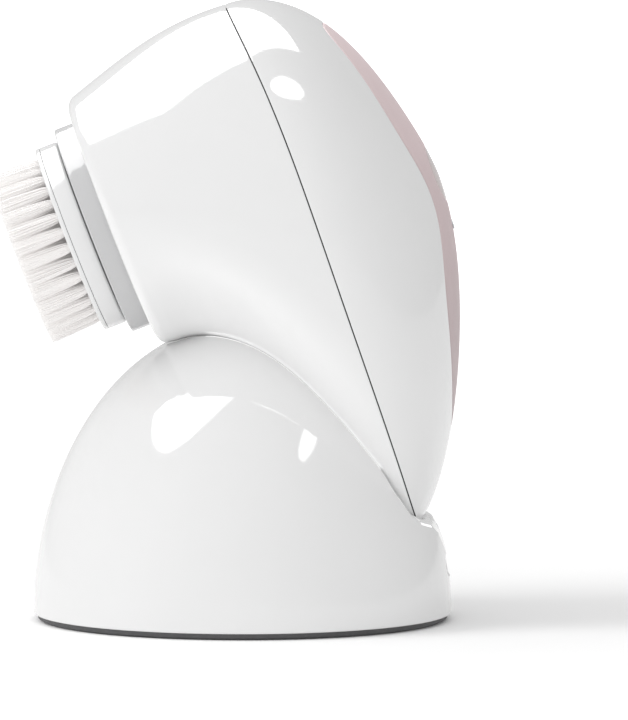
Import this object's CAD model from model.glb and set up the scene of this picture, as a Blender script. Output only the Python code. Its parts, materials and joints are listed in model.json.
"""Facial cleansing brush leaning in its charging dock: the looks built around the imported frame.

Scene: x to the right, y away from the camera, z up, floor at z = 0. Lengths in the mesh code are
millimetres and become metres in new_object. The handset frame has its origin on the brush axis at
the front face, with x up the front face, y across and z outwards along the brush axis.
Lights, camera and shader distances are in metres.
"""
import bmesh
import bpy
import json
import math
import numpy as np
from mathutils import Matrix, Vector
from mathutils.bvhtree import BVHTree

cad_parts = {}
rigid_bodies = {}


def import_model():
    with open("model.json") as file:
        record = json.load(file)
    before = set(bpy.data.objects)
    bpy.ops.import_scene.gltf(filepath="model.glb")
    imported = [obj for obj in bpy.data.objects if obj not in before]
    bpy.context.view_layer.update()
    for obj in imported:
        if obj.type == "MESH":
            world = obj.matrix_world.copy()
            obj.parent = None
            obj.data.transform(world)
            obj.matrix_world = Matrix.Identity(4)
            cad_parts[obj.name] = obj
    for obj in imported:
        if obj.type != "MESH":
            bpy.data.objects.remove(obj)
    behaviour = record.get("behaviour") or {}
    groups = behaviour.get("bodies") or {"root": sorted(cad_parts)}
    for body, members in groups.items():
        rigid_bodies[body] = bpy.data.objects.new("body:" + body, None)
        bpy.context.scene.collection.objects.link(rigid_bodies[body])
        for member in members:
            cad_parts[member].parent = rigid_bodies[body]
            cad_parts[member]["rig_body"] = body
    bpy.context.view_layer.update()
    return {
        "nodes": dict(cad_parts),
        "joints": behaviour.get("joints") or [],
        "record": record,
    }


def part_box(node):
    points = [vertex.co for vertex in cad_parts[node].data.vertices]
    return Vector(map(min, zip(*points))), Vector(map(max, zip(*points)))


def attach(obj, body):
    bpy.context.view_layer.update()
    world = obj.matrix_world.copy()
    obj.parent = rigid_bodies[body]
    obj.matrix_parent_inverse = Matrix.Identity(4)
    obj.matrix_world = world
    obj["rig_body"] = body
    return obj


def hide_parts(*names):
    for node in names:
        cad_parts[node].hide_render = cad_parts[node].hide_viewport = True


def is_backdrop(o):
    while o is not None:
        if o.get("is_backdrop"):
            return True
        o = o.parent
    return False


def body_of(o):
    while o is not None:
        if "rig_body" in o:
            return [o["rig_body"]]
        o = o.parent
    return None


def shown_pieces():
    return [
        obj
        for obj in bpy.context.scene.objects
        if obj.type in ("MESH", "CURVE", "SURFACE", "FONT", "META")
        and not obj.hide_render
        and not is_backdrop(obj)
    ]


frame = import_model()
NODES = frame["nodes"]
COLLECTION = bpy.context.scene.collection


# ---------------------------------------------------------------- frames and driving sizes
def half_span(node, axis):
    """Half the size of a frame node along an axis, in millimetres."""
    low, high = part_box(node)
    return (getattr(high, axis) - getattr(low, axis)) * 500.0


SPIN = next(joint for joint in frame["joints"] if joint["name"] == "brush_spin")
FACE = np.array(SPIN["pos_m"]) * 1000.0
AXIS = np.array(SPIN["axis"])
AXIS = AXIS / np.linalg.norm(AXIS)
UP = np.array([AXIS[2], 0.0, -AXIS[0]])
SIDE = np.array([0.0, 1.0, 0.0])

DOCK_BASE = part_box("dock_shell")[0].z * 1000.0
DOME_R = half_span("dock_shell", "x")
COLLAR_R = half_span("collar_ring", "y")
HEAD_R = half_span("brush_cup", "y")
FOOT_R = half_span("dock_foot_pad", "y")

AROUND = 288         # points round a shell
TURNED_AROUND = 224  # points round a turned piece or the button
DOCK_AROUND = 288    # columns round the dock


def to_scene(points):
    """Handset-frame points (..., 3) in the scene frame, still in millimetres."""
    points = np.asarray(points, float)
    return FACE + points[..., 0:1] * UP + points[..., 1:2] * SIDE + points[..., 2:3] * AXIS


def ring_angles(count):
    return 2 * math.pi * np.arange(count) / count


ANGLES = ring_angles(AROUND)

# ---------------------------------------------------------------- surface of the handset
SEAM_DEPTH = 30.6    # from the front face to the seam
BACK_DEPTH = 50.0    # from the front face to the back pole
POLE_X = -11.1       # the back pole, seen along the brush axis
SEAM_MID_X = -12.0   # middle of the seam section
FACE_R = 20.2
EDGE_DEPTH, EDGE_INSET = 1.5, 1.4   # rounding round the front face
LOWER_STEP, LOWER_GROWTH = 0.4, 40.3
SIDE_GROWTH = 6.8
SEAM_LOWER = FACE_R + LOWER_STEP + LOWER_GROWTH
SEAM_HALF_WIDTH = FACE_R + SIDE_GROWTH

SEAM_GAP = 0.20
SEAM_ROUNDING = 0.06
WALL = 2.2
BORE_R = 4.03        # opening in the front face

PANEL_X, PANEL_HALF_LENGTH, PANEL_HALF_WIDTH = -15.8, 33.0, 12.4
PANEL_THICKNESS = 1.2
POCKET_CLEARANCE = 0.08
POCKET_GROW = 0.12   # pocket outline beyond the panel's
BUTTON_X, BUTTON_R = -11.0, 4.5
PANEL_HOLE_R, SHELL_HOLE_R = 4.65, 4.75   # openings round the button
LAMP_X, LAMP_R = -19.0, 1.1
SHARP_ANGLE = 50


def ease(value):
    part = np.clip(value, 0, 1)
    return part * part * (3 - 2 * part)


def sin_deg(angle):
    return np.sin(np.radians(angle))


def seam_sag(x):
    """How much deeper than nominal the seam lies at height x."""
    return 0.043 * x - 2.5 * ((x + 25) / 48) ** 4


def upper_reach(depth):
    return FACE_R + 5.4 * sin_deg(90 * depth / 26.5)


def surface(section, angle, out=0.0, lift=0.0):
    """Handset surface at a section (0 front face, 1 seam, 2 back pole) and an angle in radians.

    out moves it off the surface, lift along the brush axis.
    """
    section, angle = np.broadcast_arrays(np.asarray(section, float), np.asarray(angle, float))
    front = section <= 1
    way = np.minimum(section, 1)
    depth = SEAM_DEPTH * way
    edge = np.maximum(0, 1 - depth / EDGE_DEPTH)
    inset = EDGE_INSET * (1 - np.sqrt(np.maximum(0, 1 - edge * edge)))
    eased = ease(way)
    turn = np.radians(90 * (np.maximum(section, 1) - 1))
    back = np.sin(turn)
    shrink = np.clip(np.cos(turn), 0, 1)

    # reach up, down and sideways, and the middle that upper and lower halves share
    seam_upper = upper_reach(SEAM_DEPTH)
    upper = np.where(front, upper_reach(depth) - inset,
                     POLE_X + (seam_upper - POLE_X) * shrink * (1 - 0.35 * back ** 6))
    lower_front = FACE_R + LOWER_STEP * np.minimum(1, depth / 3) + LOWER_GROWTH * eased ** 1.9
    lower_back = (-SEAM_LOWER - POLE_X) * shrink * (1 - 0.37 * np.abs(back) ** 1.15)
    lower = np.where(front, -lower_front + inset, POLE_X + lower_back)
    half_width = np.where(front, FACE_R + SIDE_GROWTH * sin_deg(90 * way) - inset,
                          SEAM_HALF_WIDTH * shrink * (1 - 0.28 * back ** 3))
    middle = np.where(front, SEAM_MID_X * eased, SEAM_MID_X + (POLE_X - SEAM_MID_X) * back)

    # superellipse powers: 2 is a plain ellipse
    upper_power = np.where(front, 2 + 0.3 * eased, 2.3 - 0.3 * back)
    lower_power = np.where(front, 2 - 0.6 * sin_deg(180 * way) + 0.35 * way ** 3,
                           2.35 - 0.35 * back)
    sag_share = np.where(front, eased, shrink)
    side_out = out * np.where(front, 1.0, shrink)
    deep = np.where(front, depth - out * (1 - way),
                    SEAM_DEPTH + (BACK_DEPTH - SEAM_DEPTH + out) * back)

    cos, sin = np.cos(angle), np.sin(angle)
    power = 2 + (np.where(cos >= 0, upper_power, lower_power) - 2) * np.sin(2 * angle) ** 2
    y = (half_width + side_out) * np.abs(sin) ** (2 / power) * np.sign(sin)
    reach = np.abs(cos) ** (2 / power)
    x = middle + np.where(cos >= 0, (upper - middle + side_out) * reach,
                          -(middle - lower + side_out) * reach)
    return np.stack([x, y, lift - (deep + sag_share * seam_sag(x))], -1)


def disc(up, side, out=0.0):
    """Rear surface by disc coordinates: (0, 0) is the back pole and the unit circle the seam."""
    radius = np.clip(np.hypot(up, side), 0, 1)
    return surface(1 + np.degrees(np.arccos(radius)) / 90, np.arctan2(side, up), out)


def solve_rear(x, y, out=0.0):
    """Disc coordinates of the rear-surface points that lie at (x, y), by damped Newton steps."""
    up = np.where(x > POLE_X, (x - POLE_X) / 36.0, (x - POLE_X) / 42.0)
    side = y / 22.0
    delta = 1e-4
    for _ in range(60):
        here = disc(up, side, out)
        by_up = (disc(up + delta, side, out) - disc(up - delta, side, out)) / (2 * delta)
        by_side = (disc(up, side + delta, out) - disc(up, side - delta, out)) / (2 * delta)
        x_up, x_side, y_up, y_side = by_up[..., 0], by_side[..., 0], by_up[..., 1], by_side[..., 1]
        miss_x, miss_y = x - here[..., 0], y - here[..., 1]
        det = x_up * y_side - x_side * y_up
        det = np.where(np.abs(det) < 1e-6, 1e-6, det)
        step_up = (y_side * miss_x - x_side * miss_y) / det
        step_side = (x_up * miss_y - y_up * miss_x) / det
        damping = np.maximum(1, np.hypot(step_up, step_side) / 0.12)
        up, side = up + step_up / damping, side + step_side / damping
        # stay inside the seam
        over = np.maximum(1, np.hypot(up, side) / 0.995)
        up, side = up / over, side / over
    return np.stack([up, side])


def on_rear(outline, out=0.0):
    """Rear-surface points over an outline of (x, y) rows."""
    return disc(*solve_rear(*outline, out), out)


# ---------------------------------------------------------------- mesh helpers
def circle(radius, z, x=0.0, count=AROUND):
    angles = ring_angles(count)
    return np.stack([x + radius * np.cos(angles), radius * np.sin(angles), np.full(count, z)], -1)


def quarter(radius, steps):
    """Quarter round as (1 - cos, 1 - sin) offsets, from (0, radius) to (radius, 0)."""
    turns = [math.pi / 2 * k / steps for k in range(steps + 1)]
    return [(radius * (1 - math.cos(a)), radius * (1 - math.sin(a))) for a in turns]


def between(first, last, part):
    return (1 - part) * first + part * last


def bend(first, corner, last, part):
    """Point on the curve from first to last that is pulled towards corner."""
    return (1 - part) ** 2 * first + 2 * part * (1 - part) * corner + part * part * last


def unit(vectors):
    return vectors / np.linalg.norm(vectors, axis=1, keepdims=True)


def sharpen(mesh, angle):
    """Marks as sharp every edge whose faces meet at more than angle degrees."""
    bm = bmesh.new()
    bm.from_mesh(mesh)
    limit = math.radians(angle)
    for edge in bm.edges:
        if len(edge.link_faces) == 2 and edge.calc_face_angle(0) > limit:
            edge.smooth = False
    bm.to_mesh(mesh)
    bm.free()


def new_object(name, points, faces, angle=None):
    """Smooth-shaded object from points in millimetres, sharp beyond angle degrees if given."""
    mesh = bpy.data.meshes.new(name)
    mesh.from_pydata([tuple(p) for p in (np.asarray(points) * 0.001).tolist()], [], faces)
    mesh.validate()
    mesh.update()
    ob = bpy.data.objects.new(name, mesh)
    COLLECTION.objects.link(ob)
    mesh.polygons.foreach_set("use_smooth", [True] * len(mesh.polygons))
    if angle is not None:
        sharpen(mesh, angle)
    return ob


def join_rings(rings, closed=False, start=None, end=None):
    """Points and faces through rings of equal length.

    start and end are points that cap it; closed joins the last ring to the first.
    """
    count, total = len(rings[0]), len(rings)
    points = np.concatenate([np.asarray(ring, float) for ring in rings])
    following = [(i, (i + 1) % count) for i in range(count)]
    faces = []
    for j in range(total if closed else total - 1):
        here, there = j * count, (j + 1) % total * count
        faces += [(here + i, there + i, there + k, here + k) for i, k in following]
    if start is not None:
        tip = len(points)
        points = np.vstack([points, start])
        faces += [(tip, i, k) for i, k in following]
    if end is not None:
        tip, last = len(points), (total - 1) * count
        points = np.vstack([points, end])
        faces += [(tip, last + k, last + i) for i, k in following]
    return points, faces


def solid(name, rings, angle=SHARP_ANGLE, **ends):
    """Object through rings with its faces turned outwards; ends as in join_rings."""
    ob = new_object(name, *join_rings(rings, **ends), angle=angle)
    bm = bmesh.new()
    bm.from_mesh(ob.data)
    if bm.calc_volume(signed=True) < 0:
        bmesh.ops.reverse_faces(bm, faces=bm.faces[:])
    bm.to_mesh(ob.data)
    bm.free()
    ob.data.update()
    return ob


def cut(ob, cutter):
    """Cuts the cutter out of the object, removes it and marks the sharp edges again."""
    modifier = ob.modifiers.new("cut", "BOOLEAN")
    modifier.operation, modifier.solver, modifier.object = "DIFFERENCE", "EXACT", cutter
    depsgraph = bpy.context.evaluated_depsgraph_get()
    mesh = bpy.data.meshes.new_from_object(ob.evaluated_get(depsgraph))
    ob.modifiers.clear()
    old = ob.data
    ob.data = mesh
    bpy.data.meshes.remove(old)
    bpy.data.objects.remove(cutter)
    sharpen(mesh, SHARP_ANGLE)


def rounded(profile, steps=5):
    """Profile of (radius, z, rounding) with each marked corner turned into steps + 1 points."""
    out = []
    for i, (radius, z, rounding) in enumerate(profile):
        corner = np.array([radius, z])
        if rounding <= 0 or i in (0, len(profile) - 1):
            out.append(corner)
            continue
        before = np.array(profile[i - 1][:2]) - corner
        after = np.array(profile[i + 1][:2]) - corner
        length_before, length_after = np.linalg.norm(before), np.linalg.norm(after)
        before, after = before / length_before, after / length_after
        half = math.acos(max(-1, min(1, float(before @ after)))) / 2
        tangent = min(rounding / math.tan(half), length_before * 0.49, length_after * 0.49)
        arc_radius = tangent * math.tan(half)
        bisector = (before + after) / np.linalg.norm(before + after)
        centre = corner + bisector * (arc_radius / math.sin(half))
        first = corner + before * tangent - centre
        last = corner + after * tangent - centre
        sweep = math.atan2(first[0] * last[1] - first[1] * last[0], float(first @ last))
        for k in range(steps + 1):
            cos, sin = math.cos(sweep * k / steps), math.sin(sweep * k / steps)
            out.append(centre + np.array([first[0] * cos - first[1] * sin,
                                          first[0] * sin + first[1] * cos]))
    return out


def densify(profile, step):
    """Splits the profile's segments into pieces a little longer than step at most."""
    out = [profile[0]]
    for first, last in zip(profile[:-1], profile[1:]):
        pieces = max(1, int(np.linalg.norm(last - first) / step))
        out += [first + (last - first) * (i / pieces) for i in range(1, pieces + 1)]
    return out


def lathe(name, profile, step, frame_map, closed=False):
    """Turned piece from (radius, z, rounding) corners, mapped to the scene by frame_map.

    An open profile starts and ends on the axis; a closed one is a full section.
    """
    section = densify(rounded(profile), step)
    ends = {"closed": closed}
    if not closed:
        ends["start"] = frame_map(np.array([0.0, 0.0, section[0][1]]))
        ends["end"] = frame_map(np.array([0.0, 0.0, section[-1][1]]))
        section = section[1:-1]
    rings = [frame_map(circle(radius, z, count=TURNED_AROUND)) for radius, z in section]
    return solid(name, rings, angle=40, **ends)


# ---------------------------------------------------------------- handset shells
def seam_rows(sign):
    """Rounded edge and flat of a shell at the seam. sign +1 front shell, -1 rear shell."""
    gap = sign * SEAM_GAP / 2
    rows = [surface(1.0, ANGLES, -inset, gap + sign * sink)
            for inset, sink in quarter(SEAM_ROUNDING, 4)]
    return rows + [surface(1.0, ANGLES, -inset, gap) for inset in (1.0, WALL)]


def make_front():
    rings = [circle(radius, 0.0) for radius in (BORE_R, 4.2, 6, 9, 12, 15, 17.5)]
    sections = [depth / SEAM_DEPTH for depth, _ in quarter(EDGE_DEPTH, 10)]
    sections += list(np.linspace(sections[-1] + 0.012, 0.978, 56))
    rings += [surface(section, ANGLES) for section in sections]
    rings += seam_rows(1)
    rings += [surface(section, ANGLES, -WALL) for section in np.linspace(0.95, 0, 22)]
    rings += [circle(radius, -WALL) for radius in (12, 8, BORE_R)]
    return solid("front_shell_skin", [to_scene(ring) for ring in rings], closed=True)


def panel_outline(grow):
    """(x, y) rows of the grip panel: a long oval, blunter at the top and a little waisted."""
    cos, sin = np.cos(ANGLES), np.sin(ANGLES)
    x = (PANEL_HALF_LENGTH + grow) * cos
    y = np.sign(sin) * (PANEL_HALF_WIDTH + grow) * np.abs(sin) ** (0.875 - 0.275 * cos)
    waist = 1 - 0.29 * np.exp(-((x - 1) / 11) ** 2)
    return np.stack([PANEL_X + x, y * waist])


def opening(radius, count=AROUND):
    """(x, y) rows of a circle round the button's axis."""
    return circle(radius, 0.0, BUTTON_X, count).T[:2]


def lamp_cutter():
    """Plain cylinder along the brush axis, through the rear shell and panel at the lamp."""
    deep, shallow = -60.0, -40.0
    rings = [to_scene(circle(LAMP_R, z, LAMP_X, 64)) for z in (deep, shallow)]
    return solid("cutter", rings, angle=None, start=to_scene([LAMP_X, 0, deep]),
                 end=to_scene([LAMP_X, 0, shallow]))


def make_rear():
    floor_out = -(PANEL_THICKNESS + POCKET_CLEARANCE)
    hole = opening(SHELL_HOLE_R)
    outline = panel_outline(POCKET_GROW)
    # floor of the panel's pocket, from the button opening out
    rings = [on_rear(between(hole, outline, part), floor_out)
             for part in (0.0, 0.08, 0.2, 0.4, 0.6, 0.8, 1.0)]

    # wall of the pocket and its rounded edge
    rounding = 0.18
    rim = solve_rear(*outline)
    edge = disc(*rim)
    low = rings[-1]
    inner = edge + unit(low - edge) * rounding
    rings += [low + (inner - low) * part for part in (0.4, 0.8)]
    seam_circle = np.stack([np.cos(ANGLES), np.sin(ANGLES)])
    to_seam = seam_circle - rim
    near = disc(*(rim + to_seam * 0.01 / np.hypot(*to_seam)))
    outer = edge + unit(near - edge) * rounding
    rings += [bend(inner, edge, outer, part) for part in np.linspace(0, 1, 6)]

    # outer skin to the seam
    rim_radius = np.hypot(*rim)
    rim_turn = np.arccos(np.clip(rim_radius, 0, 1))
    for part in np.linspace(0, 0.975, 56)[1:]:
        share = (np.cos(rim_turn * (1 - part)) - rim_radius) / (1 - rim_radius)
        rings.append(disc(*(rim + to_seam * np.maximum(share, 0.03))))
    rings += seam_rows(-1)

    # inner skin, back to the button opening
    inner_hole = solve_rear(*hole, -WALL)
    for part in np.linspace(0, 1, 20)[1:]:
        share = 1 - (1 - part) ** 1.4
        spot = seam_circle * (1 - share) * 0.998 + inner_hole * share
        rings.append(disc(*spot, -WALL))
    ob = solid("rear_shell_skin", [to_scene(ring) for ring in rings], closed=True)
    cut(ob, lamp_cutter())
    return ob


def make_panel():
    rounding = 0.28
    hole, outline = opening(PANEL_HOLE_R), panel_outline(0)
    # wall and rounded mouth of the button hole
    rings = [on_rear(hole, -PANEL_THICKNESS)]
    rings += [on_rear(opening(PANEL_HOLE_R + inset), -sink)
              for inset, sink in quarter(rounding, 5)]
    # outer face
    first, last = opening(PANEL_HOLE_R + rounding), panel_outline(-rounding)
    rings += [on_rear(between(first, last, part)) for part in np.linspace(0, 1, 42)[1:-1]]
    # rounded rim, then back over the underside
    rings += [on_rear(panel_outline(-inset), -sink)
              for inset, sink in reversed(quarter(rounding, 5))]
    rings += [on_rear(between(hole, outline, part), -PANEL_THICKNESS)
              for part in (1.0, 0.85, 0.6, 0.35, 0.12)]
    ob = solid("grip_panel_skin", [to_scene(ring) for ring in rings], closed=True)
    cut(ob, lamp_cutter())
    return ob


# ---------------------------------------------------------------- dock shell
DOME_H, DOCK_WALL, CRADLE_GAP = 45.4, 2.0, 0.2
LIP_ROWS, LIP_ROUNDING = 7, 0.3
BOTTOM_ROUNDING = 0.4
# Notch in the right side of the dock: x, and the height above which it is cut away
NOTCH = [
    (24.6, 20.2), (26.0, 17.9), (27.6, 16.4), (29.4, 15.5), (30.4, 14.1),
    (31.1, 12.4), (31.6, 10.8), (32.3, 8.6), (33.2, 6.0),
]
# Stadium-shaped socket opening through the right side
SOCKET_Z, SOCKET_HALF_STRAIGHT, SOCKET_R = DOCK_BASE + 7.7, 2.9, 1.8
SOCKET_FROM_X, SOCKET_TO_X = 24.0, 40.0


def handset_tree(gap):
    """Handset surface grown by gap, for ray casts."""
    angles = ring_angles(480)
    sections = [*np.linspace(0, 1, 140), *(1 + np.linspace(0.012, 0.99, 90))]
    rings = [to_scene(surface(section, angles, gap)) for section in sections]
    points, faces = join_rings(rings, start=to_scene([0, 0, gap]),
                               end=to_scene([POLE_X, 0, -(BACK_DEPTH + gap)]))
    return BVHTree.FromPolygons([tuple(p) for p in points.tolist()], faces)


def notch_height(x):
    if x < NOTCH[0][0]:
        before = NOTCH[0][0] - x
        return NOTCH[0][1] + before * 1.15 + before ** 2 * 0.2
    return float(np.interp(x, *zip(*NOTCH)))


def along(points, parts):
    """Points at the given parts (0 to 1) of a polyline's length."""
    points = np.array(points)
    steps = np.linalg.norm(np.diff(points, axis=0), axis=1)
    lengths = np.concatenate([[0], np.cumsum(steps)])
    return [np.array([np.interp(length, lengths, points[:, k]) for k in range(3)])
            for length in lengths[-1] * parts]


def walk(points, distance):
    """The point a distance along a polyline."""
    walked, here = 0.0, points[0]
    for there in points[1:]:
        length = np.linalg.norm(there - here)
        if walked + length >= distance:
            return here + (there - here) * ((distance - walked) / length)
        walked, here = walked + length, there
    return points[-1]


class DockSkin:
    """A half-ellipsoid dome cut by the cradle, as columns up the dome and down to one middle."""

    def __init__(self, inset, middle_x, notch_drop, dome_rows, cradle_rows):
        self.radius, self.height = DOME_R - inset, DOME_H - inset
        self.cavity = handset_tree(CRADLE_GAP + inset)
        self.middle_x, self.notch_drop = middle_x, notch_drop
        self.dome_rows, self.cradle_rows = dome_rows, cradle_rows

    def roof(self, x, y):
        """Height at which the space cut for the handset or notch begins over (x, y)."""
        hit = self.cavity.ray_cast(Vector((x, y, -20.0)), Vector((0, 0, 1)))[0]
        handset = hit.z if hit is not None else 90.0
        notch = notch_height(x) - self.notch_drop
        blend = 0.9
        nearness = max(blend - abs(handset - notch), 0.0) / blend
        return min(handset, notch) - nearness * nearness * blend * 0.25

    def rim_radius(self, cos, sin):
        """Radius at which the dome meets the cradle, along the direction (cos, sin)."""
        def above(radius):
            dome = self.height * math.sqrt(max(0.0, 1 - (radius / self.radius) ** 2))
            return DOCK_BASE + dome > self.roof(radius * cos, radius * sin)

        low, high = 0.0, self.radius * 0.9995
        previous = radius = high
        while radius > 0:
            if above(radius):
                low, high = radius, previous
                break
            previous = radius
            radius -= self.radius / 130
        for _ in range(26):
            middle = (low + high) / 2
            if above(middle):
                low = middle
            else:
                high = middle
        return (low + high) / 2

    def cradle_point(self, rim, part):
        """Point of the cradle a part of the way from the rim to the middle."""
        x, y = rim[0] + (self.middle_x - rim[0]) * part, rim[1] * (1 - part)
        return np.array([x, y, self.roof(x, y)])

    def column(self, angle):
        """Points up the dome to the rim, and on down the cradle."""
        cos, sin = math.cos(angle), math.sin(angle)
        rim_turn = math.acos(min(1, self.rim_radius(cos, sin) / self.radius))
        dome = []
        for k in range(self.dome_rows + 1):
            turn = rim_turn * k / self.dome_rows
            radius = self.radius * math.cos(turn)
            z = DOCK_BASE + self.height * math.sin(turn)
            dome.append(np.array([radius * cos, radius * sin, z]))
        cradle = [self.cradle_point(dome[-1], (k / self.cradle_rows) ** 1.7)
                  for k in range(1, self.cradle_rows + 1)]
        return dome, cradle

    def lipped_column(self, angle):
        """Column with a rounded lip at the rim, and whether the rim is a real edge there."""
        dome, cradle = self.column(angle)
        rim = dome[-1]
        span = math.hypot(rim[0] - self.middle_x, rim[1])
        near_rim = (0.05, 0.12, 0.2, 0.3, 0.45, 0.6, 0.9, 1.3)
        fine = [rim] + [self.cradle_point(rim, distance / span) for distance in near_rim]
        first, last = walk(dome[::-1], LIP_ROUNDING), walk(fine, LIP_ROUNDING)
        down, inwards = first - rim, last - rim
        cos_turn = float(down @ inwards) / (np.linalg.norm(down) * np.linalg.norm(inwards))
        lip = [bend(first, rim, last, part) for part in np.linspace(0, 1, LIP_ROWS)]

        def clear_of_rim(points, margin):
            return [p for p in points if np.linalg.norm(p - rim) > LIP_ROUNDING * margin]

        below = along(clear_of_rim(dome, 1.15) + [first], np.linspace(0, 1, self.dome_rows + 1))
        # denser near the rim
        parts = (np.arange(1, self.cradle_rows + 1) / self.cradle_rows) ** 1.6
        inner = along([last] + clear_of_rim(cradle, 1.3), parts)
        return below[:-1] + lip + inner, cos_turn > -0.75


def socket_cutter():
    """Stadium-shaped bar through the charging socket's opening."""
    outline = []
    for side, first in ((1, -math.pi / 2), (-1, math.pi / 2)):
        for k in range(17):
            angle = first + math.pi * k / 16
            outline.append((side * SOCKET_HALF_STRAIGHT + SOCKET_R * math.cos(angle),
                            SOCKET_Z + SOCKET_R * math.sin(angle)))
    rings = [[[x, y, z] for y, z in outline] for x in (SOCKET_FROM_X, SOCKET_TO_X)]
    return solid("cutter", rings, angle=None, start=[SOCKET_FROM_X, 0, SOCKET_Z],
                 end=[SOCKET_TO_X, 0, SOCKET_Z])


def make_dock():
    count = DOCK_AROUND
    turns = [2 * math.pi * i / count for i in range(count)]
    skin = DockSkin(inset=0.0, middle_x=6.0, notch_drop=0.0, dome_rows=40, cradle_rows=44)
    lining = DockSkin(inset=DOCK_WALL, middle_x=3.0, notch_drop=1.8, dome_rows=16, cradle_rows=12)
    columns, is_edge = zip(*[skin.lipped_column(turn) for turn in turns])
    outer = np.array(columns).swapaxes(0, 1)
    inner = np.array([sum(lining.column(turn), []) for turn in turns]).swapaxes(0, 1)

    # the lining, then round the bottom edge, then the outer skin and the cradle floor
    directions = unit(outer[0][:, :2])
    bottom = []
    for lift, inset in quarter(BOTTOM_ROUNDING, 5):
        height = np.full((count, 1), DOCK_BASE + lift)
        bottom.append(np.concatenate([directions * (DOME_R - inset), height], 1))
    clear_z = DOCK_BASE + BOTTOM_ROUNDING + 0.3
    upper = [ring for ring in outer[1:-1] if ring[:, 2].min() > clear_z]
    rings = list(inner[:-1][::-1]) + bottom + upper
    ob = solid("dock_shell_skin", rings, angle=55, start=inner[-1][0], end=outer[-1][0])

    # the lip has its own material where the rim is a real edge
    ob.data.materials.append(MATERIALS["dock_white"])
    ob.data.materials.append(MATERIALS["dock_lip"])
    first = len(rings) - (skin.cradle_rows - 1) - LIP_ROWS
    for j in range(first, first + LIP_ROWS - 1):
        for i in range(count):
            if is_edge[i] and is_edge[(i + 1) % count]:
                ob.data.polygons[j * count + i].material_index = 1
    cut(ob, socket_cutter())
    return ob


# ---------------------------------------------------------------- button and turned pieces
PLATE_Z = 7.15   # outer face of the bristle plate
CUP_RIM_Z = 6.38


def make_button():
    """Round cap whose top follows the back of the handset, on its stem."""
    rounding = 0.25
    below_surface = -0.03
    stem_end = 44.65
    # radius, depth behind the front face: the stem, then the underside and side of the cap
    stem = [
        (0.7, stem_end), (1.42, stem_end), (1.5, 44.73), (1.5, 46.7), (1.5, 48.6),
        (1.6, 48.72), (3.0, 48.72), (4.38, 48.72), (4.47, 48.75), (BUTTON_R, 48.83),
    ]

    def top(radius, sink=0.0):
        return on_rear(opening(radius, TURNED_AROUND), below_surface) + np.array([0, 0, sink])

    rings = [circle(radius, -depth, BUTTON_X, TURNED_AROUND) for radius, depth in stem]
    rings += [top(BUTTON_R - inset, sink) for inset, sink in quarter(rounding, 6)]
    rings += [top(radius) for radius in (4.0, 3.6, 3.1, 2.5, 1.9, 1.3, 0.7, 0.3)]
    return solid("power_button_skin", [to_scene(ring) for ring in rings], angle=40,
                 start=to_scene([BUTTON_X, 0.0, -stem_end]), end=to_scene(top(1e-6)[0]))


def keyed(points):
    """To the scene, with the turned socket pressed in to the two flats of the spindle's end."""
    points = np.array(points, float)
    y = points[..., 1]
    in_socket = np.hypot(points[..., 0], y) < 2.4
    points[..., 1] = np.where(in_socket, np.clip(y, -1.81, 1.81), y)
    return to_scene(points)


# The turned profiles hold (radius, z, rounding) corners.
def make_collar():
    inner, middle, top = 11, 14, 3.25
    profile = [
        (inner, 0, 0), (middle, 0, 0), (COLLAR_R, 0, 0.12),
        (COLLAR_R, top, 0.28), (middle, top, 0), (inner, top, 0),
    ]
    return lathe("collar_ring_skin", profile, 0.6, to_scene, closed=True)


def make_cup():
    inner = HEAD_R - 1.4
    profile = [
        (0, 4.3, 0), (2.36, 4.3, 0), (2.36, 0.95, 0), (4.5, 0.95, 0.15), (4.5, 3.5, 0.2),
        (HEAD_R, 3.5, 0.45), (HEAD_R, CUP_RIM_Z, 0.07), (inner, CUP_RIM_Z, 0.05),
        (inner, 4.9, 0.1), (0, 4.9, 0),
    ]
    return lathe("brush_cup_skin", profile, 0.6, keyed)


def make_plate():
    spigot, ledge = HEAD_R - 1.5, 6.45
    profile = [
        (0, 4.95, 0), (spigot, 4.95, 0.05), (spigot, ledge, 0.05), (HEAD_R, ledge, 0.06),
        (HEAD_R, PLATE_Z, 0.36), (HEAD_R - 1, PLATE_Z, 0), (0, PLATE_Z, 0),
    ]
    return lathe("bristle_plate_skin", profile, 0.6, to_scene)


def make_foot():
    profile = [
        (0, 0, 0), (FOOT_R - 0.9, 0, 0.2), (FOOT_R - 0.15, 0.35, 0.3),
        (FOOT_R, DOCK_BASE, 0.03), (0, DOCK_BASE, 0),
    ]
    return lathe("dock_foot_skin", profile, 0.8, np.asarray)


# ---------------------------------------------------------------- bristles
# radius of a circle of tufts, tufts on it
TUFT_CIRCLES = [(12.65, 32), (10.2, 26), (7.75, 20), (5.3, 13), (2.85, 7), (0.0, 1)]
OUTER_TUFT_R = TUFT_CIRCLES[0][0]
FILAMENTS = 62   # per tuft
FILAMENT_SIDES = 4
GOLDEN_ANGLE = math.pi * (3 - math.sqrt(5))
TUFT_TOP = max(c.x * AXIS[0] + c.z * AXIS[2]
               for c in (Vector(v.co) for v in NODES["bristle_tufts"].data.vertices)) * 1000
BRISTLE = TUFT_TOP - float(FACE @ AXIS) - PLATE_Z
# heights over the plate at which a filament has a ring
STATIONS = [-0.5, 0.0, 0.35, 1.1, 2.3, 3.9, 5.8, 7.6, BRISTLE]


def filament_faces(base):
    """Faces of the filament whose points start at base."""
    sides, rows = FILAMENT_SIDES, len(STATIONS)
    faces = []
    for j in range(rows - 1):
        low, high = base + j * sides, base + (j + 1) * sides
        for i in range(sides):
            k = (i + 1) % sides
            faces.append((low + i, low + k, high + k, high + i))
    faces.append(tuple(base + (rows - 1) * sides + i for i in range(sides)))
    faces.append(tuple(base + i for i in range(sides))[::-1])
    return faces


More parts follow.
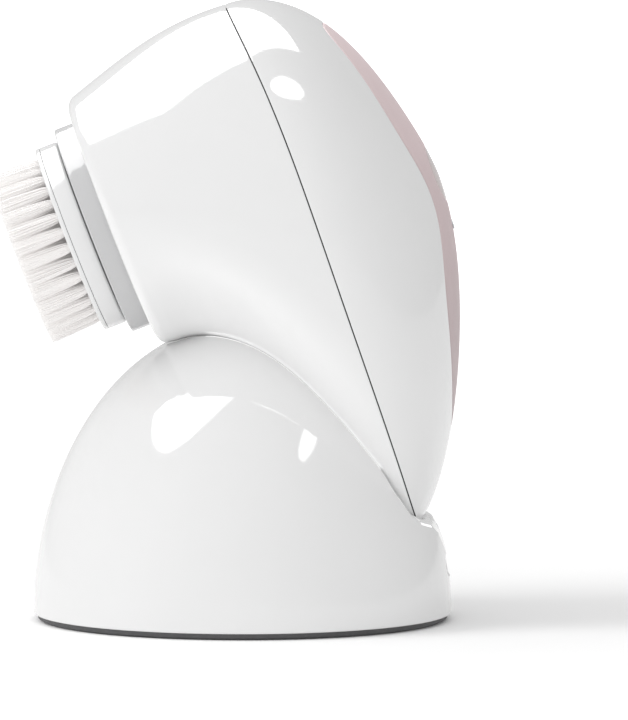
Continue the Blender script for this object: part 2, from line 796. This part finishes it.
def make_bristles():
    """Tapered filaments that fan out of each tuft.

    The shade attribute holds depth among the tufts, a random tone and the part along the filament.
    """
    rng = np.random.default_rng(41)
    points, faces, shade = [], [], []

    def add_filament(tuft, circle_r, place):
        place = place + rng.normal(0, 0.03, 2)
        tone = rng.uniform(0.0, 1.0)
        lean = rng.normal(0, 0.06, 2)
        top = BRISTLE - abs(rng.normal(0, 0.07)) - 0.12 * (rng.random() ** 3)
        thickness = rng.uniform(0.062, 0.078)
        twist = rng.uniform(0, math.pi)
        outwards = tuft / circle_r if circle_r > 0 else place
        faces.extend(filament_faces(len(points)))
        for station in STATIONS:
            height = min(station, top)
            free = max(0.0, height)
            part = free / BRISTLE
            spread = 0.70 + 0.26 * (1 - math.exp(-free / 0.55)) + 0.26 * min(1, part / 0.8)
            centre = tuft + place * spread + lean * part * 1.2
            centre = centre + outwards * 0.12 * part * (circle_r / OUTER_TUFT_R)
            taper = 1.0 if part < 0.8 else 1 - 0.45 * ((part - 0.8) / 0.2) ** 2
            radius = thickness * taper
            covered = min(1.0, max(0.0, 13.25 - math.hypot(*centre)))
            low = 1 - min(1.0, free / 4.6)
            for k in range(FILAMENT_SIDES):
                angle = twist + 2 * math.pi * k / FILAMENT_SIDES
                points.append([centre[0] + radius * math.cos(angle),
                               centre[1] + radius * math.sin(angle), PLATE_Z + height])
                shade.append([covered * low ** 1.3, tone, part, 1.0])

    for circle_r, tufts in TUFT_CIRCLES:
        for i in range(tufts):
            angle = 2 * math.pi * i / tufts
            tuft = np.array([circle_r * math.cos(angle), circle_r * math.sin(angle)])
            spin = rng.uniform(0, 2 * math.pi)
            for k in range(FILAMENTS):
                turn = k * GOLDEN_ANGLE + spin
                place = np.array([math.cos(turn), math.sin(turn)])
                add_filament(tuft, circle_r, math.sqrt((k + 0.5) / FILAMENTS) * place)

    ob = new_object("bristle_filaments", to_scene(points), faces)
    attribute = ob.data.color_attributes.new("shade", "FLOAT_COLOR", "POINT")
    attribute.data.foreach_set("color", np.array(shade, np.float32).ravel())
    return ob


# ---------------------------------------------------------------- shader helpers
MATERIALS = {}


class Graph:
    """Short forms for building a node tree."""

    def __init__(self, tree):
        self.tree = tree

    def node(self, kind, **settings):
        node = self.tree.nodes.new("ShaderNode" + kind)
        for key, value in settings.items():
            setattr(node, key, value)
        return node

    def put(self, socket, value):
        """Links a socket to an output, or sets it to a number or an RGB colour."""
        if isinstance(value, bpy.types.NodeSocket):
            self.tree.links.new(value, socket)
        elif isinstance(value, (tuple, np.ndarray)):
            socket.default_value = (*value, 1.0)
        else:
            socket.default_value = value

    def ramp(self, value, low, high, out_low=0.0, out_high=1.0):
        node = self.node("MapRange")
        for k, number in enumerate((low, high, out_low, out_high), 1):
            node.inputs[k].default_value = number
        self.put(node.inputs[0], value)
        return node.outputs[0]

    def math(self, operation, *values):
        node = self.node("Math", operation=operation)
        for socket, value in zip(node.inputs, values):
            self.put(socket, value)
        return node.outputs[0]

    def mix(self, factor, first, second, mode="MIX"):
        """Blend of two colours."""
        node = self.node("Mix", data_type="RGBA", blend_type=mode)
        for k, value in ((0, factor), (6, first), (7, second)):
            self.put(node.inputs[k], value)
        return node.outputs[2]

    def mix_numbers(self, factor, first, second):
        node = self.node("Mix")
        for k, value in ((0, factor), (2, first), (3, second)):
            self.put(node.inputs[k], value)
        return node.outputs[0]


class Material(Graph):
    """Principled material whose textures follow object coordinates."""

    def __init__(self, name):
        material = MATERIALS[name] = bpy.data.materials.new(name)
        material.use_nodes = True
        super().__init__(material.node_tree)
        self.tree.nodes.clear()
        output = self.node("OutputMaterial")
        self.surface = self.node("BsdfPrincipled")
        self.put(output.inputs[0], self.surface.outputs[0])
        self.coords = self.node("TexCoord").outputs["Object"]

    def set(self, values):
        for name, value in values.items():
            self.put(self.surface.inputs[name], value)

    def texture(self, kind, inputs, coords=None, **settings):
        node = self.node("Tex" + kind, **settings)
        for name, value in inputs.items():
            node.inputs[name].default_value = value
        self.put(node.inputs["Vector"], coords or self.coords)
        return node.outputs

    def noise(self, scale, detail, rough, stretch=None):
        coords = None
        if stretch:
            mapping = self.node("Mapping")
            mapping.inputs["Scale"].default_value = stretch
            self.put(mapping.inputs[0], self.coords)
            coords = mapping.outputs[0]
        inputs = {"Scale": scale, "Detail": detail, "Roughness": rough}
        return self.texture("Noise", inputs, coords)["Fac"]

    def cells(self, scale):
        return self.texture("Voronoi", {"Scale": scale})["Distance"]

    def mottle(self, pattern, dark, light):
        return self.mix(self.ramp(pattern, 0.3, 0.7), dark, light)

    def worn_edges(self, base, colour, low, high):
        """Another colour on convex edges."""
        pointiness = self.node("NewGeometry").outputs["Pointiness"]
        return self.mix(self.ramp(pointiness, low, high), base, colour)

    def bump(self, *layers):
        """Layers of (height socket, strength, distance in metres), each over the one before."""
        normal = None
        for height, strength, distance in layers:
            node = self.node("Bump")
            node.inputs["Strength"].default_value = strength
            node.inputs["Distance"].default_value = distance
            self.put(node.inputs["Height"], height)
            if normal is not None:
                self.put(node.inputs["Normal"], normal)
            normal = node.outputs[0]
        self.set({"Normal": normal})


def shade_of(colour, factor, add=0.0):
    return np.minimum(1, np.array(colour) * factor + add)


# ---------------------------------------------------------------- kinds of material
def gloss(name, colour, rough, spread=0.03, coat=0.35):
    """Gloss moulded plastic: faint flow mottling, long soft waves, fine skin, polished edges."""
    mat = Material(name)
    flow = mat.noise(55, detail=4, rough=0.55)
    base = mat.mottle(flow, shade_of(colour, 0.988), shade_of(colour, 1.006))
    base = mat.worn_edges(base, shade_of(colour, 1.03), low=0.515, high=0.56)
    fine = mat.noise(900, detail=2, rough=0.6)
    mat.set({
        "Base Color": base,
        "Roughness": mat.ramp(fine, 0.3, 0.7, rough - spread, rough + spread),
        "Coat Weight": coat,
        "Coat Roughness": 0.03,
        "IOR": 1.5,
    })
    waves = mat.noise(40, detail=2, rough=0.5)
    mat.bump((waves, 0.03, 0.0006), (mat.noise(2600, detail=2, rough=0.5), 0.02, 0.00002))
    return mat


def lit_from_below(mat, strength):
    """Faint glow on faces turned down, to the left and to the camera."""
    geometry = mat.node("NewGeometry")
    facing = mat.node("VectorMath", operation="DOT_PRODUCT")
    facing.inputs[1].default_value = (-0.5, -0.3, -0.8)
    mat.put(facing.inputs[0], geometry.outputs["Normal"])
    glow = mat.ramp(facing.outputs["Value"], 0.45, 1.0, 0.0, strength)
    mat.set({"Emission Color": (1, 1, 1), "Emission Strength": glow})


def darker_below(mat, least):
    """Darker colour on faces turned away from the ceiling, down to the factor least."""
    split = mat.node("SeparateXYZ")
    mat.put(split.inputs[0], mat.node("NewGeometry").outputs["Normal"])
    grey = mat.node("CombineColor")
    factor = mat.ramp(split.outputs[2], -0.4, 0.7, least, 1.0)
    for k in range(3):
        mat.put(grey.inputs[k], factor)
    base = mat.surface.inputs["Base Color"].links[0].from_socket
    mat.set({"Base Color": mat.mix(1.0, base, grey.outputs[0], "MULTIPLY")})


def satin(name, colour, rough, grain, size=5200):
    """Fine-grained moulded plastic or soft-touch skin. size is the scale of the grain."""
    mat = Material(name)
    flow = mat.noise(90, detail=4, rough=0.6)
    speck = mat.noise(size * 0.4, detail=3, rough=0.7)
    base = mat.mottle(flow, shade_of(colour, 0.97), shade_of(colour, 1.03))
    base = mat.mix(mat.ramp(speck, 0.35, 0.65, 0.0, 0.5), base, shade_of(colour, 0.955))
    base = mat.worn_edges(base, shade_of(colour, 1.06), low=0.51, high=0.56)
    blotches = mat.noise(320, detail=3, rough=0.6)
    mat.set({
        "Base Color": base,
        "Roughness": mat.ramp(blotches, 0.3, 0.7, rough - 0.05, rough + 0.05),
        "Coat Weight": 0.0,
        "Coat Roughness": 0.15,
    })
    mat.bump((mat.cells(size), grain, 0.00003))
    return mat


def metal(name, colour, rough, stretch=(1.0, 1.0, 1.0)):
    """Metal with streaks, drawn out by stretch where it is brushed."""
    mat = Material(name)
    streak = mat.noise(1400, detail=4, rough=0.65, stretch=stretch)
    base = mat.mottle(streak, shade_of(colour, 0.94), shade_of(colour, 1.06))
    base = mat.worn_edges(base, shade_of(colour, 1.2, add=0.05), low=0.52, high=0.6)
    mat.set({
        "Base Color": base,
        "Metallic": 1.0,
        "Roughness": mat.ramp(streak, 0.25, 0.75, rough - 0.08, rough + 0.1),
    })
    mat.bump((streak, 0.12, 0.00002))


def winding(name, colour):
    """Enamelled copper wire laid in fine rings."""
    mat = Material(name)
    mottling = mat.noise(700, detail=2, rough=0.5)
    turns = mat.texture("Wave", {"Scale": 1500, "Distortion": 0.6},
                        wave_type="RINGS", rings_direction="SPHERICAL")["Fac"]
    base = mat.mix(mat.ramp(turns, 0.2, 0.9), shade_of(colour, 0.45), colour)
    base = mat.mix(mat.ramp(mottling, 0.4, 0.7, 0, 0.35), base, shade_of(colour, 1.25))
    mat.set({"Base Color": base, "Metallic": 0.85, "Coat Weight": 0.6, "Roughness": 0.3})
    mat.bump((turns, 0.6, 0.00008))


def board(name, colour):
    """Solder mask over copper traces and tinned pads."""
    mat = Material(name)
    bricks = {"Scale": 420, "Mortar Size": 0.05, "Brick Width": 1.3, "Row Height": 0.55}
    traces = mat.texture("Brick", bricks)["Fac"]
    cells = mat.cells(520)
    pads = mat.ramp(cells, 0.16, 0.2, 1.0, 0.0)
    base = mat.mix(traces, colour, shade_of(colour, 1.9, add=0.02))
    base = mat.mix(pads, base, (0.78, 0.76, 0.68))
    mat.set({"Base Color": base, "Metallic": pads, "Roughness": 0.28, "Coat Weight": 0.3})
    mat.bump((traces, 0.4, 0.00004), (cells, 0.1, 0.00003))


def rubber(name, colour, rough=0.6, size=2400):
    """Mottled, slightly dusty rubber. size is the scale of the grain."""
    mat = Material(name)
    mottling = mat.noise(260, detail=5, rough=0.7)
    base = mat.mottle(mottling, shade_of(colour, 0.85), shade_of(colour, 1.18))
    dust = mat.noise(1700, detail=4, rough=0.75)
    base = mat.mix(mat.ramp(dust, 0.58, 0.75, 0, 0.25), base, shade_of(colour, 1, add=0.12))
    mat.set({
        "Base Color": base,
        "Roughness": mat.ramp(mottling, 0.3, 0.7, rough - 0.08, rough + 0.1),
    })
    mat.bump((mat.cells(size), 0.3, 0.00005))


def filament(name):
    """Pale nylon with a faint glow, darker and warmer down between the tufts."""
    mat = Material(name)
    split = mat.node("SeparateColor")
    mat.put(split.inputs[0], mat.node("VertexColor", layer_name="shade").outputs["Color"])
    deep, tone, part = (split.outputs[k] for k in range(3))
    base = mat.mix(tone, (0.89, 0.87, 0.86), (0.95, 0.935, 0.925))
    base = mat.mix(mat.ramp(part, 0.85, 1.0, 0, 0.4), base, (0.94, 0.93, 0.92))
    base = mat.mix(mat.ramp(deep, 0.0, 1.0, 0.0, 0.45), base, (0.26, 0.23, 0.225))
    streak = mat.noise(2500, detail=3, rough=0.6)
    base = mat.mix(mat.ramp(streak, 0.4, 0.7, 0, 0.12), base, (0.72, 0.69, 0.68))
    mat.set({
        "Base Color": base,
        "Roughness": mat.ramp(tone, 0, 1, 0.34, 0.5),
        "Emission Color": (1.0, 0.985, 0.975),
        "Emission Strength": mat.ramp(deep, 0.0, 0.7, 0.155, 0.06),
        "Sheen Weight": 0.25,
        "Sheen Roughness": 0.5,
    })
    mat.bump((streak, 0.1, 0.00002))


def clear(name):
    """Clear plastic, very slightly clouded."""
    mat = Material(name)
    cloud = mat.noise(800, detail=2, rough=0.5)
    mat.set({
        "Base Color": mat.mottle(cloud, (0.86, 0.9, 0.93), (0.95, 0.97, 0.99)),
        "Roughness": mat.ramp(cloud, 0.3, 0.7, 0.05, 0.14),
        "Transmission Weight": 0.7,
        "IOR": 1.49,
    })
    mat.bump((cloud, 0.05, 0.00002))


WHITE = (0.86, 0.86, 0.86)


def build_materials():
    lit_from_below(gloss("shell_white", WHITE, rough=0.075, spread=0.02), strength=0.10)
    gloss("dock_white", WHITE, rough=0.07, spread=0.02)
    lip = gloss("dock_lip", (0.9, 0.9, 0.9), rough=0.15)
    lip.set({"Emission Color": (1, 1, 1), "Emission Strength": 0.55})
    gloss("collar_grey", (0.60, 0.60, 0.605), rough=0.13, coat=0.3)
    gloss("head_white", WHITE, rough=0.12, coat=0.3)
    darker_below(satin("grip_rose", (0.84, 0.68, 0.69), rough=0.44, grain=0.25), least=0.5)
    gloss("button_rose", (0.66, 0.58, 0.57), rough=0.2, coat=0.4)
    filament("bristle")
    rubber("rubber_dark", (0.085, 0.085, 0.088))
    rubber("seal_grey", (0.03, 0.03, 0.032), rough=0.7)
    metal("steel", (0.62, 0.62, 0.64), rough=0.3, stretch=(1, 1, 0.15))
    metal("zinc", (0.72, 0.72, 0.74), rough=0.22)
    metal("bronze", (0.55, 0.38, 0.2), rough=0.42)
    winding("copper", (0.62, 0.3, 0.13))
    satin("ferrite", (0.035, 0.035, 0.04), rough=0.55, grain=0.5, size=3000)
    board("circuit_board", (0.012, 0.09, 0.035))
    satin("black_plastic", (0.012, 0.012, 0.013), rough=0.5, grain=0.5, size=3600)
    satin("natural_plastic", (0.74, 0.71, 0.62), rough=0.38, grain=0.2)
    metal("foil", (0.55, 0.58, 0.62), rough=0.35, stretch=(0.2, 1, 1))
    rubber("wire_red", (0.35, 0.015, 0.012), rough=0.4, size=5000)
    rubber("wire_black", (0.012, 0.012, 0.013), rough=0.4, size=5000)
    clear("clear")


def paint_nodes():
    """Gives every piece of the frame the material its record names."""
    slots = {part["node"]: part["material_slot"] for part in frame["record"]["subparts"]}
    for name, ob in NODES.items():
        material = MATERIALS[slots[name]]
        if not ob.material_slots:
            ob.data.materials.append(material)
        for slot in ob.material_slots:
            slot.material = material


# ---------------------------------------------------------------- build
# maker, body it rides, material slot, frame node it replaces
PIECES = [
    (make_front, "handset", "shell_white", "front_shell"),
    (make_rear, "handset", "shell_white", "rear_shell"),
    (make_panel, "handset", "grip_rose", "back_panel"),
    (make_dock, "dock", "dock_white", "dock_shell"),
    (make_collar, "handset", "collar_grey", "collar_ring"),
    (make_cup, "brush_head", "head_white", "brush_cup"),
    (make_plate, "brush_head", "head_white", "bristle_plate"),
    (make_button, "button", "button_rose", "power_button"),
    (make_foot, "dock", "rubber_dark", "dock_foot_pad"),
    (make_bristles, "brush_head", "bristle", "bristle_tufts"),
]

build_materials()
paint_nodes()
for make, body, slot, node in PIECES:
    piece = make()
    if make is not make_dock:   # the dock comes with its two materials
        piece.data.materials.clear()
        piece.data.materials.append(MATERIALS[slot])
    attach(piece, body)
    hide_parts(node)


# ---------------------------------------------------------------- floor
def floor_material():
    """Pale floor, brighter to the camera with distance so that it stays white to the rim."""
    mat = Material("floor_pale")
    to_camera = mat.node("LightPath").outputs["Is Camera Ray"]
    bounce = (0.80, 0.80, 0.80)
    seen = mat.mottle(mat.noise(6, detail=3, rough=0.5), (0.91, 0.91, 0.91), (0.93, 0.93, 0.93))
    mat.set({
        "Base Color": mat.mix(to_camera, bounce, seen),
        "Roughness": 0.8,
        "Specular IOR Level": 0.1,
    })
    distance = mat.node("VectorMath", operation="LENGTH")
    mat.put(distance.inputs[0], mat.coords)
    glow = mat.ramp(distance.outputs["Value"], 0.06, 0.9, 0.04, 0.7)
    glow = mat.math("MULTIPLY", glow, to_camera)
    mat.set({
        "Emission Color": (1, 1, 1),
        "Emission Strength": mat.mix_numbers(to_camera, 0.12, glow),
    })
    return MATERIALS["floor_pale"]


def make_floor():
    rings = [circle(radius, 0.0, count=96) for radius in (150, 500, 1500, 5000, 15000, 40000)]
    ob = new_object("floor", *join_rings(rings, start=np.zeros(3)))
    ob.data.materials.append(floor_material())
    ob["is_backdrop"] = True
    return ob


# ---------------------------------------------------------------- camera and world
def make_camera():
    """Long lens, looking along +y and slightly down."""
    target = Vector((0.0111, 0.0, 0.0405))
    elevation, distance = math.radians(5.4), 3.77
    data = bpy.data.cameras.new("camera")
    data.lens, data.sensor_width, data.sensor_fit = 1212.0, 36.0, "AUTO"
    data.clip_start, data.clip_end = 0.1, 60.0
    camera = bpy.data.objects.new("camera", data)
    COLLECTION.objects.link(camera)
    away = Vector((0, -math.cos(elevation), math.sin(elevation)))
    camera.location = target + away * distance
    camera.rotation_euler = (target - camera.location).to_track_quat("-Z", "Y").to_euler()
    bpy.context.scene.camera = camera


def make_world():
    """White room, dimmer low on the right and behind; plain white to the camera."""
    world = bpy.data.worlds.new("studio")
    world.use_nodes = True
    graph = Graph(world.node_tree)
    background = world.node_tree.nodes["Background"]
    graph.put(background.inputs[0], (1, 1, 1))
    split = graph.node("SeparateXYZ")
    graph.put(split.inputs[0], graph.node("TexCoord").outputs["Generated"])
    x, y, z = (split.outputs[k] for k in range(3))
    low_right = graph.math("MULTIPLY_ADD", z, -0.6, x)
    across = graph.ramp(low_right, -0.9, 0.95, 1.0, 0.5)
    front = graph.ramp(y, -1.0, 0.6, 1.14, 0.9)
    room = graph.math("MULTIPLY", across, front)
    to_camera = graph.node("LightPath").outputs["Is Camera Ray"]
    graph.put(background.inputs[1], graph.mix_numbers(to_camera, room, 1.0))
    bpy.context.scene.world = world


# ---------------------------------------------------------------- lights
def area_light(name, shape, receivers):
    """Area light that only falls on the receivers."""
    light = bpy.data.objects.new(name, bpy.data.lights.new(name, "AREA"))
    light.data.shape = shape
    COLLECTION.objects.link(light)
    group = bpy.data.collections.new(name + "_on")
    for ob in receivers:
        group.objects.link(ob)
    light.light_linking.receiver_collection = group
    return light


def soft_box(name, at, turn, size, radiance, receivers, shape="ELLIPSE"):
    """Box facing straight down, seen in reflections only; turn is its long side's, in degrees."""
    light = area_light(name, shape, receivers)
    length, width = size
    light.data.size, light.data.size_y = length, width
    fill = math.pi / 4 if shape == "ELLIPSE" else 1.0
    light.data.energy = radiance * math.pi * length * width * fill
    angle = math.radians(turn)
    x, z = Vector((math.cos(angle), math.sin(angle), 0)).normalized(), Vector((0, 0, 1))
    matrix = Matrix((x, z.cross(x), z)).transposed().to_4x4()
    matrix.translation = Vector(at)
    light.matrix_world = matrix
    light.visible_diffuse = False


def key_light(name, radiance, receivers):
    """Soft key from the left: shapes the object a little and casts the shadow on the right."""
    light = area_light(name, "DISK", receivers)
    diameter = 0.55
    light.data.size = diameter
    light.data.energy = radiance * math.pi * math.pi * (diameter / 2) ** 2
    light.location = (-0.80, -0.25, 0.75)
    aim = Vector((0, 0, 0.03)) - light.location
    light.rotation_euler = aim.to_track_quat("-Z", "Y").to_euler()
    light.visible_glossy = False


floor = make_floor()
make_camera()
make_world()

# a wide box on the left and a small one on the right, for each half of the object
on_dock = [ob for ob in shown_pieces() if body_of(ob) == ["dock"]]
on_handset = [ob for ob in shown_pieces() if body_of(ob) not in (["dock"], None)]
soft_box("wide_on_handset", at=(-0.59, 0.59, 0.90), turn=31, size=(1.46, 1.60), radiance=6.0,
         receivers=on_handset, shape="RECTANGLE")
soft_box("oval_on_handset", at=(0.235, -0.52, 0.90), turn=32, size=(0.70, 0.33), radiance=7.0,
         receivers=on_handset)
soft_box("wide_on_dock", at=(-0.395, 0.023, 0.90), turn=35, size=(1.28, 0.73), radiance=6.0,
         receivers=on_dock)
soft_box("tall_on_dock", at=(0.685, -0.384, 0.90), turn=0, size=(0.18, 0.48), radiance=6.0,
         receivers=on_dock)
key_light("key_on_floor", radiance=6.0, receivers=[floor])
key_light("key_on_handset", radiance=0.7, receivers=on_handset)
key_light("key_on_dock", radiance=1.0, receivers=on_dock)

view = bpy.context.scene.view_settings
view.view_transform = "Standard"
view.look = "None"
view.exposure = 0.0
view.gamma = 1.0
